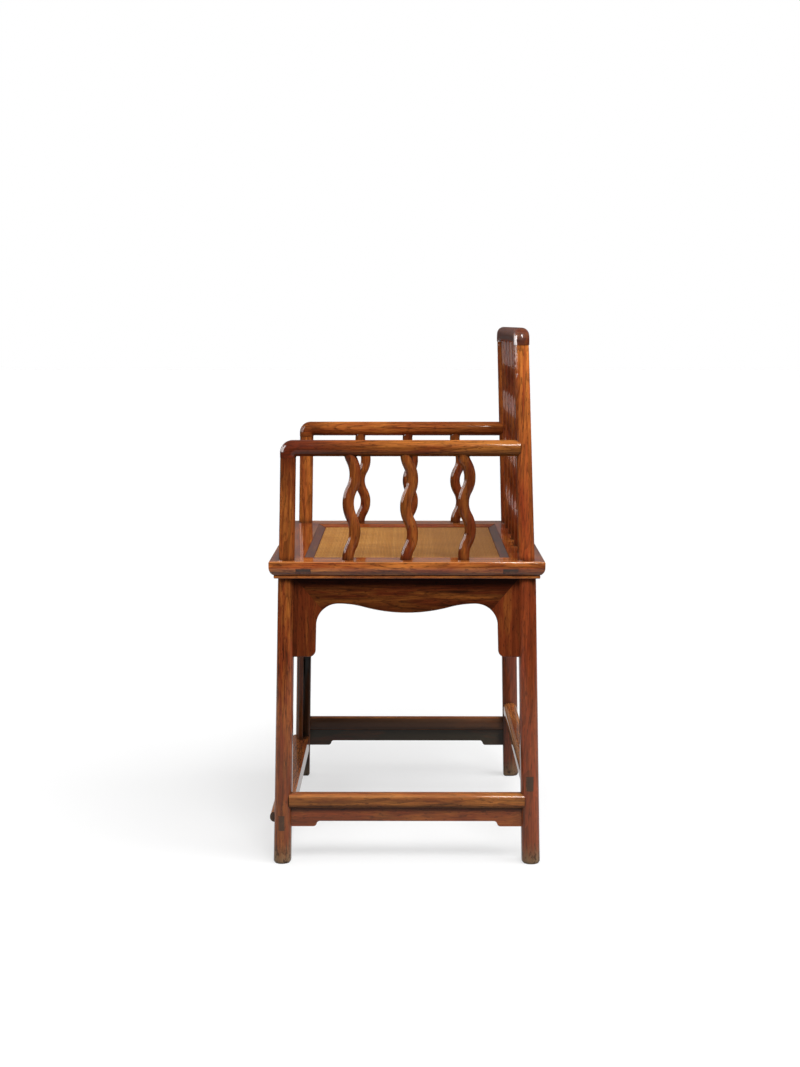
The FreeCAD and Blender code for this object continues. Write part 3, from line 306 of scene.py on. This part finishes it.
class Nodes:
    """A node tree whose nodes are added and joined in short lines."""

    def __init__(self, tree):
        self.tree = tree

    def feed(self, socket, value):
        """Joins an output to a socket, or sets the socket's own value."""
        if isinstance(value, bpy.types.NodeSocket):
            self.tree.links.new(value, socket)
        else:
            socket.default_value = value

    def add(self, kind, inputs=None, out=0, **settings):
        """Adds a node and returns one of its outputs."""
        node = self.tree.nodes.new("ShaderNode" + kind)
        for key, value in settings.items():
            setattr(node, key, value)
        for key, value in (inputs or {}).items():
            self.feed(node.inputs[key], value)
        return node.outputs[out] if node.outputs else None

    def math(self, operation, first, second=0.0):
        return self.add("Math", {0: first, 1: second}, operation=operation)

    def times(self, first, second):
        return self.math("MULTIPLY", first, second)

    def vector(self, operation, first, second, out=0):
        return self.add("VectorMath", {0: first, 1: second}, out, operation=operation)

    def length(self, vector):
        return self.add("VectorMath", {0: vector}, "Value", operation="LENGTH")

    def part(self, vector, axis):
        """One coordinate of a vector."""
        return self.add("SeparateXYZ", {0: vector}, axis)

    def ramp(self, value, low, high, floor=0.0, ceiling=1.0, kind="SMOOTHSTEP"):
        """Rise from floor to ceiling as value goes from low to high."""
        inputs = {"Value": value, "From Min": low, "From Max": high, "To Min": floor, "To Max": ceiling}
        return self.add("MapRange", inputs, interpolation_type=kind)

    def mix(self, share, first, second, blend="MIX"):
        """Mixes two colours."""
        return self.add("Mix", {0: share, 6: first, 7: second}, 2, data_type="RGBA", blend_type=blend)

    def choose(self, share, first, second):
        """Mixes two numbers."""
        return self.add("Mix", {0: share, 2: first, 3: second}, data_type="FLOAT")

    def grey(self, value):
        return self.add("CombineColor", {0: value, 1: value, 2: value})

    def shade(self, colour, value):
        """A colour times a number."""
        return self.mix(1.0, colour, self.grey(value), "MULTIPLY")

    def stretched(self, place, scale, shift=(0, 0, 0)):
        return self.add("Mapping", {"Vector": place, "Scale": scale, "Location": shift})

    def noise(self, place, detail=2.0, rough=0.5, distortion=0.0, out=0):
        inputs = {
            "Vector": place, "Scale": 1.0, "Detail": detail, "Roughness": rough, "Distortion": distortion,
        }
        return self.add("TexNoise", inputs, out)

    def bump(self, height, strength, distance):
        return self.add("Bump", {"Height": height, "Strength": strength, "Distance": distance})


class Material(Nodes):
    """A material painted by place on the object."""

    def __init__(self, name):
        self.material = bpy.data.materials.new(name)
        self.material.use_nodes = True
        super().__init__(self.material.node_tree)
        self.tree.nodes.clear()
        self.place = self.add("TexCoord", out="Object")

    def surface(self, inputs):
        shader = self.add("BsdfPrincipled", inputs)
        self.add("OutputMaterial", {"Surface": shader})
        return self.material


class Wood(Material):
    """Hardwood with its grain along an axis; the seed gives each member a figure of its own."""

    def __init__(self, name, axis, seed):
        super().__init__(name)
        self.axis, self.seed = axis, seed
        self.noises = {}
        self.facing = self.add("TexCoord", out="Normal")
        self.level = self.part(self.place, "Z")
        self.recess = self.openness(RECESS_REACH)
        self.swayed = self.swayed_place()
        self.pores = self.effect("pores")

    def openness(self, reach):
        """How free a spot is of what stands within reach, from 0 to 1."""
        return self.add("AmbientOcclusion", {"Distance": reach}, "AO", samples=OPENNESS_SAMPLES)

    def grain(self, kind, out=0):
        """Noise of one kind, drawn out along the grain and made only once."""
        if kind not in self.noises:
            across, along, *character = GRAIN[kind]
            scale = [along if part else across for part in self.axis]
            place = self.stretched(self.place, scale, SEED_SHIFT * self.seed)
            self.noises[kind] = self.noise(place, *character, out)
        return self.noises[kind]

    def effect(self, kind, *values):
        """Ramp over one kind of noise, between two values where the table gives none."""
        return self.ramp(self.grain(kind), *SHOWS[kind], *values)

    def swayed_place(self):
        """Place shifted by slow noise, so that no ring is quite straight."""
        sway = self.vector("SUBTRACT", self.grain("sway", "Color"), (0.5, 0.5, 0.5))
        return self.vector("ADD", self.place, self.vector("MULTIPLY", sway, (SWAY, SWAY, SWAY)))

    def late_wood(self):
        """Dark part of each growth ring."""
        across = Vector((1, 1, 1)) - self.axis
        pith = across * PITH_AWAY
        pith.rotate(Matrix.Rotation(self.seed * PITH_TURN, 3, self.axis))
        from_pith = self.vector("MULTIPLY", self.vector("ADD", self.swayed, pith), across)
        ring = self.times(self.length(from_pith), RINGS_PER_METRE)
        return self.ramp(self.math("SINE", self.times(ring, 2 * math.pi)), *LATE_WOOD)

    def red_and_gold(self, gold, figure):
        """Ground colour, in flames of red and gold."""
        swing = PLAIN_SWING + FIGURE_SWING * figure
        flames = self.effect("flames", gold - swing, gold + swing)
        return self.mix(self.math("ADD", self.effect("mottle"), flames), RED_WOOD, GOLD_WOOD)

    def with_patina_and_shade(self, colour, polish, patina):
        """Colour and polish where use has changed them, and where shade is painted."""
        for axis, start, strongest, most, tone in patina:
            share = self.ramp(self.part(self.swayed, axis), start, strongest, 0.0, most)
            colour = self.mix(share, colour, tone)
            rubbed = self.times(self.math("POWER", share, 2.0), RUBBED_POLISH)
            polish = self.math("MAXIMUM", rubbed, polish)
        return colour, polish

    def with_dark_lines(self, colour, figure):
        """Rings, veins, bundles of streaks, flecks and pores over the ground colour."""
        swell = self.math("FRACT", self.times(self.grain("growth"), VEINS_PER_SWELL))
        bundles = self.effect("bundles", LEAST_STREAKS * figure, figure)
        layers = [
            (self.times(self.late_wood(), RING_SHARE), DARK_WOOD),
            (self.ramp(swell, *VEIN, VEIN_SHARE * figure, 0.0), DARK_WOOD),
            (self.times(self.effect("streaks"), bundles), DARK_WOOD),
            (self.times(self.effect("flecks"), FLECK_SHARE), PORE),
            (self.times(self.pores, PORE_SHARE), PORE),
        ]
        for share, tone in layers:
            colour = self.mix(share, colour, tone)
        return colour

    def with_lightness(self, colour, light):
        """Colour at the member's lightness, varied by fibre and by broad bands."""
        fibres = self.effect("fibre", DARK_FIBRE * light, LIGHT_FIBRE * light)
        return self.shade(colour, self.times(fibres, self.effect("bands")))

    def with_end_grain(self, colour, most):
        """Darker wood on faces that look along the grain."""
        along = self.math("ABSOLUTE", self.vector("DOT_PRODUCT", self.facing, self.axis, "Value"))
        return self.mix(self.times(self.ramp(along, *END_FACE), most), colour, END_GRAIN)

    def with_dirt_and_shade(self, colour):
        """Old dirt and painted shade in corners and recesses."""
        corner = self.ramp(self.openness(CORNER_REACH), *CORNER_UNDARKENED)
        undarkened = self.times(corner, self.ramp(self.recess, *RECESS_UNDARKENED))
        return self.mix(undarkened, DIRT_AND_SHADE, colour)

    def with_worn_and_lit_edge(self, colour, most):
        """Lighter wood on the rounded upper edges, where they stand free: wear, and a painted highlight.
        """
        rise = self.part(self.facing, "Z")
        rounded = self.times(self.ramp(rise, *EDGE_START), self.ramp(rise, *EDGE_STOP, most, 0.0))
        return self.mix(self.times(rounded, self.ramp(self.recess, *FREE_EDGE)), colour, EDGE_WEAR_AND_HIGHLIGHT_COLOUR)

    def with_dark_inward_faces(self, colour, inward, finish):
        """Darker patches on the faces that look inward, below the seat."""
        inside = self.ramp(self.vector("DOT_PRODUCT", self.facing, inward, "Value"), *INNER_FACE)
        below = self.ramp(self.level, *BELOW_SEAT)
        darkened = self.times(self.times(inside, below), self.effect("inward_patches"))
        return self.mix(darkened, colour, finish)

    def with_dust_and_sheen(self, colour):
        """Film of dust low down, with a painted sheen of the floor's reflection."""
        return self.mix(self.ramp(self.level, *DUST_AND_SHEEN_LOW), colour, DUST_AND_SHEEN)

    def with_worn_foot(self, colour, rough):
        """Bare, stained and rougher wood at the floor."""
        scuffed = self.math("ADD", self.level, self.times(self.grain("scuffs"), SCUFF_REACH))
        bare = self.ramp(scuffed, *BARE_FOOT)
        stained = self.times(self.effect("foot_stains"), self.ramp(self.level, *STAINED_FOOT))
        colour = self.mix(stained, self.mix(bare, colour, WORN_FOOT), DIRT_AND_SHADE)
        return colour, self.math("ADD", rough, self.times(bare, BARE_ROUGHNESS))

    def roughness(self):
        """Roughness, higher in the pores and in patches."""
        patches = self.math("ADD", self.times(self.pores, PORE_ROUGHNESS), self.grain("mottle"))
        return self.ramp(patches, *ROUGHNESS)

    def relief(self):
        """Fine fibres and open pores."""
        height = self.math("SUBTRACT", self.times(self.grain("fibre"), FIBRE_RELIEF), self.pores)
        return self.bump(height, *WOOD_BUMP)


def member_of(node, table, otherwise=None):
    """Entry of a table for the longest name start that fits a node."""
    fitting = [start for start in table if node.startswith(start)]
    return table[max(fitting, key=len)] if fitting else otherwise


def wood_finish(name, seed):
    """Finish of one wooden member, from the tables above."""
    axis, gold, light, figure = member_of(name, MEMBERS)
    polish, refraction, haze = member_of(name, POLISH, PLAIN_POLISH)
    edge_lightening, finish = member_of(name, EDGE_WEAR_AND_HIGHLIGHT), member_of(name, INWARD_DARK)
    wood = Wood(f"wood_{name}", axis, seed)
    colour = wood.red_and_gold(gold, figure)
    colour, polish = wood.with_patina_and_shade(colour, polish, member_of(name, PATINA_AND_SHADE, ()))
    colour = wood.with_dark_lines(colour, figure)
    colour = wood.with_lightness(colour, light)
    colour = wood.with_end_grain(colour, member_of(name, ENDS, PLAIN_END))
    colour = wood.with_dirt_and_shade(colour)
    if edge_lightening:
        colour = wood.with_worn_and_lit_edge(colour, edge_lightening)
    if finish:
        inward = -X_AXIS if name.endswith("left") else X_AXIS
        colour = wood.with_dark_inward_faces(colour, inward, finish)
    colour = wood.with_dust_and_sheen(colour)
    rough = wood.roughness()
    if "_post_" in name:
        colour, rough = wood.with_worn_foot(colour, rough)
    return wood.surface({
        "Base Color": colour, "Roughness": rough, "Normal": wood.relief(),
        "Specular IOR Level": haze, "Coat Weight": polish, "Coat IOR": refraction,
        "Coat Roughness": POLISH_ROUGHNESS,
    })


def soften_edges(node):
    """Small rounding on every edge, shaded evenly."""
    weld = node.modifiers.new("Weld", "WELD")
    weld.merge_threshold = WELD_GAP
    bevel = node.modifiers.new("Soft edges", "BEVEL")
    bevel.width = EDGE_WIDTH
    bevel.segments = EDGE_STEPS
    bevel.limit_method = "ANGLE"
    bevel.angle_limit = math.radians(EDGE_ANGLE)
    even = node.modifiers.new("Even shading", "WEIGHTED_NORMAL")
    even.mode = "FACE_AREA"
    even.weight = LARGE_FACES_FIRST
    even.keep_sharp = True


def dress_wood():
    """Gives every wooden node a finish of its own and softens its edges."""
    for seed, (name, node) in enumerate(sorted(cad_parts.items()), start=1):
        if name in SOFT_NODES:
            continue
        finish = wood_finish(name, seed)
        for slot in node.material_slots:
            slot.material = finish
        soften_edges(node)


def weave(cane):
    """Height, tone and fibres of a plain weave, strands of one width both ways."""
    cell = cane.vector("DIVIDE", cane.place, (STRAND, STRAND, STRAND))
    u, v = cane.part(cell, "X"), cane.part(cell, "Y")
    u_number, v_number = cane.math("FLOOR", u), cane.math("FLOOR", v)
    u_inside, v_inside = cane.math("FRACT", u), cane.math("FRACT", v)
    over = cane.math("PINGPONG", cane.math("ADD", u_number, v_number), 1.0)

    def height(cross, along):
        crown = cane.math("POWER", cane.math("SINE", cane.times(cross, math.pi)), CROWN_POWER)
        rise = cane.times(cane.math("SINE", cane.times(along, math.pi)), CROSSING_RISE)
        return cane.times(crown, cane.math("ADD", rise, 1 - CROSSING_RISE))

    def tone(number, salt):
        return cane.add("TexWhiteNoise", {"W": cane.math("ADD", number, salt)}, noise_dimensions="1D")

    def fibres(u_cycles, v_cycles):
        return cane.noise(cane.stretched(cane.place, (u_cycles, v_cycles, 1)))

    u_salt, v_salt = STRAND_SALTS
    return (
        cane.choose(over, height(u_inside, v_inside), height(v_inside, u_inside)),
        cane.choose(over, tone(u_number, u_salt), tone(v_number, v_salt)),
        cane.choose(over, fibres(FIBRES_ACROSS, FIBRES_ALONG), fibres(FIBRES_ALONG, FIBRES_ACROSS)),
    )


def cane_finish():
    """Split cane, stained and darker towards the back."""
    cane = Material("woven_cane")
    height, tone, fibres = weave(cane)
    stain_place = cane.stretched(cane.place, (STAIN_CYCLES, STAIN_CYCLES, STAIN_CYCLES), STAIN_SHIFT)
    stain = cane.noise(stain_place, STAIN_DETAIL, STAIN_ROUGHNESS)
    colour = cane.mix(cane.ramp(tone, 0.0, 1.0), CANE_DARK, CANE_LIGHT)
    colour = cane.mix(cane.ramp(stain, *STAINED_CANE), colour, CANE_STAIN)
    # Darker towards the back: partly the cane's own colour, partly painted shade from the back
    colour = cane.mix(cane.ramp(cane.part(cane.place, "Y"), *DARK_BACK), colour, CANE_BACK)
    colour = cane.shade(colour, cane.ramp(fibres, *FIBRE_TINT))
    # Painted shade in the gaps between the strands
    colour = cane.mix(cane.ramp(height, *ABOVE_GAP), CANE_GAP_SHADE, colour)
    return cane.surface({
        "Base Color": colour, "Roughness": CANE_ROUGHNESS, "Normal": cane.bump(height, *CANE_BUMP),
        "Specular IOR Level": CANE_SHEEN,
    })


def palm_finish():
    """Twisted brown fibre cord."""
    palm = Material("palm_fibre")
    hair_place = palm.stretched(palm.place, (HAIR_CYCLES, HAIR_CYCLES, HAIR_CYCLES))
    hair = palm.noise(hair_place, HAIR_DETAIL, HAIR_ROUGHNESS)
    lay = palm.add("TexWave", {"Vector": palm.place, **TWIST}, "Fac", bands_direction="DIAGONAL")
    colour = palm.mix(hair, FIBRE_DARK, FIBRE_LIGHT)
    # Painted shade in the grooves of the twist
    colour = palm.mix(palm.ramp(lay, *TWIST_GAP), colour, FIBRE_GROOVE_SHADE)
    relief = palm.bump(palm.math("ADD", hair, lay), *CORD_BUMP)
    return palm.surface({"Base Color": colour, "Roughness": CORD_ROUGHNESS, "Normal": relief})


def add_object(name, data):
    """Puts an object with its data into the scene."""
    made = bpy.data.objects.new(name, data)
    bpy.context.scene.collection.objects.link(made)
    return made


def new_piece(name, points, faces, material, replaced):
    """Smooth mesh that stands for a soft node."""
    mesh = bpy.data.meshes.new(name)
    mesh.from_pydata(points, [], faces)
    mesh.update()
    for face in mesh.polygons:
        face.use_smooth = True
    mesh.materials.append(material)
    piece = add_object(name, mesh)
    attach(piece, "root")
    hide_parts(replaced)
    return piece


def sag(x, y, half_x, half_y):
    """Drop of the seat's middle from use."""
    return SAG * math.cos(math.pi * x / (2 * half_x)) * math.cos(math.pi * y / (2 * half_y))


def make_mat():
    """Cane mat as one sheet, slightly sunk in the middle and pressed down below the strips."""
    low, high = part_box("cane_mat")
    strip_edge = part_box("mat_strip_left")[0].x
    strip_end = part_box("mat_strip_back")[0].y
    points, faces = [], []
    for j in range(MAT_ROWS + 1):
        for i in range(MAT_COLUMNS + 1):
            x = low.x + (high.x - low.x) * i / MAT_COLUMNS
            y = low.y + (high.y - low.y) * j / MAT_ROWS
            z = high.z - sag(x, y, high.x, high.y)
            if abs(x) > strip_edge or abs(y) > strip_end:
                z -= PRESSED
            points.append((x, y, z))
    for j in range(MAT_ROWS):
        for i in range(MAT_COLUMNS):
            a = j * (MAT_COLUMNS + 1) + i
            faces.append((a, a + 1, a + MAT_COLUMNS + 2, a + MAT_COLUMNS + 1))
    piece = new_piece("woven_mat", points, faces, cane_finish(), "cane_mat")


def add_tube(points, faces, path):
    """Adds a round cord along a path of points to a mesh under way."""
    first = len(points)
    for number, spot in enumerate(path):
        ahead = path[min(number + 1, len(path) - 1)] - path[max(number - 1, 0)]
        side = ahead.cross(Z_AXIS).normalized()
        up = side.cross(ahead).normalized()
        for k in range(CORD_SIDES):
            turn = 2 * math.pi * k / CORD_SIDES
            points.append(spot + (side * math.cos(turn) + up * math.sin(turn)) * CORD_RADIUS)
    for ring in range(len(path) - 1):
        start = first + ring * CORD_SIDES
        for k in range(CORD_SIDES):
            a, b = start + k, start + (k + 1) % CORD_SIDES
            faces.append((a, b, b + CORD_SIDES, a + CORD_SIDES))
    faces.append(tuple(range(first + CORD_SIDES - 1, first - 1, -1)))
    faces.append(tuple(range(len(points) - CORD_SIDES, len(points))))


def even_places(low, high, count):
    """Middles of equal shares between two ends."""
    return [low + (high - low) * (i + 0.5) / count for i in range(count)]


def make_webbing():
    """Woven pairs of palm-fibre cords below the mat."""
    low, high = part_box("palm_webbing")
    middle = (low.z + high.z) / 2 - CORD_DROP
    points, faces = [], []

    def add_cord(line, number, begin, end, crossings, along_x):
        count = crossings * POINTS_PER_CROSSING
        path = []
        for k in range(count + 1):
            at = begin + (end - begin) * k / count
            wave = math.cos(math.pi * (k / POINTS_PER_CROSSING - 0.5) + math.pi * number)
            lift = CORD_LIFT * wave * (1 if along_x else -1)
            x, y = (at, line) if along_x else (line, at)
            path.append(Vector((x, y, middle + lift - sag(x, y, high.x, high.y))))
        add_tube(points, faces, path)

    for number, x in enumerate(even_places(low.x, high.x, PAIRS_X)):
        for line in (x - PAIR_HALF, x + PAIR_HALF):
            add_cord(line, number, low.y, high.y, PAIRS_Y, False)
    for number, y in enumerate(even_places(low.y, high.y, PAIRS_Y)):
        for line in (y - PAIR_HALF, y + PAIR_HALF):
            add_cord(line, number, low.x, high.x, PAIRS_X, True)
    new_piece("palm_cords", points, faces, palm_finish(), "palm_webbing")


def floor_finish():
    """White that keeps a soft shadow; the camera sees it as bright as the background.

    The polish shows it bright near the chair and dark where the white sweep ends.
    """
    white = Material("floor")
    seen = white.add("LightPath", out="Is Camera Ray")
    mirrored = white.add("LightPath", out="Is Glossy Ray")
    lit = white.ramp(seen, 0.0, 1.0, FLOOR_BOUNCE, FLOOR_SEEN)
    grey = white.math("SUBTRACT", lit, white.times(mirrored, FLOOR_BOUNCE - FLOOR_MIRRORED))
    swept = white.times(mirrored, white.ramp(white.length(white.place), *SWEEP))
    shine = white.math("ADD", white.times(seen, FLOOR_GLOW), swept)
    matt = white.add("BsdfDiffuse", {"Color": white.grey(grey)})
    glow = white.add("Emission", {"Color": WHITE, "Strength": shine})
    white.add("OutputMaterial", {"Surface": white.add("AddShader", {0: matt, 1: glow})})
    return white.material


def make_floor():
    """Plain floor at the chair's feet."""
    corners = [(-FLOOR_HALF, -FLOOR_HALF, 0), (FLOOR_HALF, -FLOOR_HALF, 0),
               (FLOOR_HALF, FLOOR_HALF, 0), (-FLOOR_HALF, FLOOR_HALF, 0)]
    mesh = bpy.data.meshes.new("floor")
    mesh.from_pydata(corners, [], [(0, 1, 2, 3)])
    mesh.materials.append(floor_finish())
    floor = add_object("floor", mesh)


def make_world():
    """Dim room that the camera sees as white; the polish shows it dark near the horizon."""
    world = bpy.data.worlds.new("studio")
    bpy.context.scene.world = world
    world.use_nodes = True
    room = Nodes(world.node_tree)
    rise = room.part(room.add("TexCoord", out="Generated"), "Z")
    mirrored = room.times(room.add("LightPath", out="Is Glossy Ray"), room.ramp(rise, *HORIZON, "LINEAR"))
    camera_ray = room.add("LightPath", out="Is Camera Ray")
    seen = room.ramp(camera_ray, 0.0, 1.0, ROOM_LIGHT, ROOM_SEEN, "LINEAR")
    background = world.node_tree.nodes["Background"].inputs
    room.feed(background["Color"], WHITE)
    room.feed(background["Strength"], room.math("ADD", mirrored, seen))


def aim(made, way):
    """Turns a lamp or the camera to look along a direction."""
    made.rotation_mode = "QUATERNION"
    made.rotation_quaternion = Vector(way).to_track_quat("-Z", "Y")


def make_sun(name, way, strength, angle):
    """Broad sun that lights the wood but is not seen in its polish."""
    lamp = bpy.data.lights.new(name, "SUN")
    lamp.energy = strength
    lamp.angle = math.radians(angle)
    sun = add_object(name, lamp)
    sun.visible_glossy = False
    aim(sun, way)


def members_lit(card, starts):
    """Collection of the members that a card reaches."""
    group = bpy.data.collections.new(f"lit by {card}")
    for name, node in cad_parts.items():
        if name.startswith(starts):
            group.objects.link(node)
    return group


def make_panel(name, spot, target, width, height, radiance, shown_by, reached):
    """Soft panel whose face shines evenly, on matt surfaces or in the polish."""
    lamp = bpy.data.lights.new(name, "AREA")
    lamp.shape = "RECTANGLE"
    lamp.size, lamp.size_y = width, height
    lamp.energy = radiance * math.pi * width * height
    panel = add_object(name, lamp)
    panel.location = spot
    panel.visible_diffuse = shown_by == "matt"
    panel.visible_glossy = shown_by == "polish"
    if reached:
        panel.light_linking.receiver_collection = members_lit(name, reached)
    aim(panel, Vector(target) - Vector(spot))


def make_lamps():
    """Suns and panels, from the tables above."""
    for name, sun in SUNS.items():
        make_sun(name, *sun)
    for name, panel in PANELS.items():
        make_panel(name, *panel)


def make_camera():
    """Camera at the photo's viewing angle."""
    data = bpy.data.cameras.new("camera")
    data.lens = LENS_MM
    data.sensor_width = SENSOR_MM
    camera = add_object("camera", data)
    camera.location = CAMERA_SPOT
    yaw = ASIDE_PIXELS / FOCAL_PIXELS
    level = math.cos(CAMERA_PITCH)
    aim(camera, (-math.cos(yaw) * level, -math.sin(yaw) * level, -math.sin(CAMERA_PITCH)))
    bpy.context.scene.camera = camera


dress_wood()
make_mat()
make_webbing()
make_floor()
make_world()
make_lamps()
make_camera()
bpy.context.scene.view_settings.view_transform = "Standard"
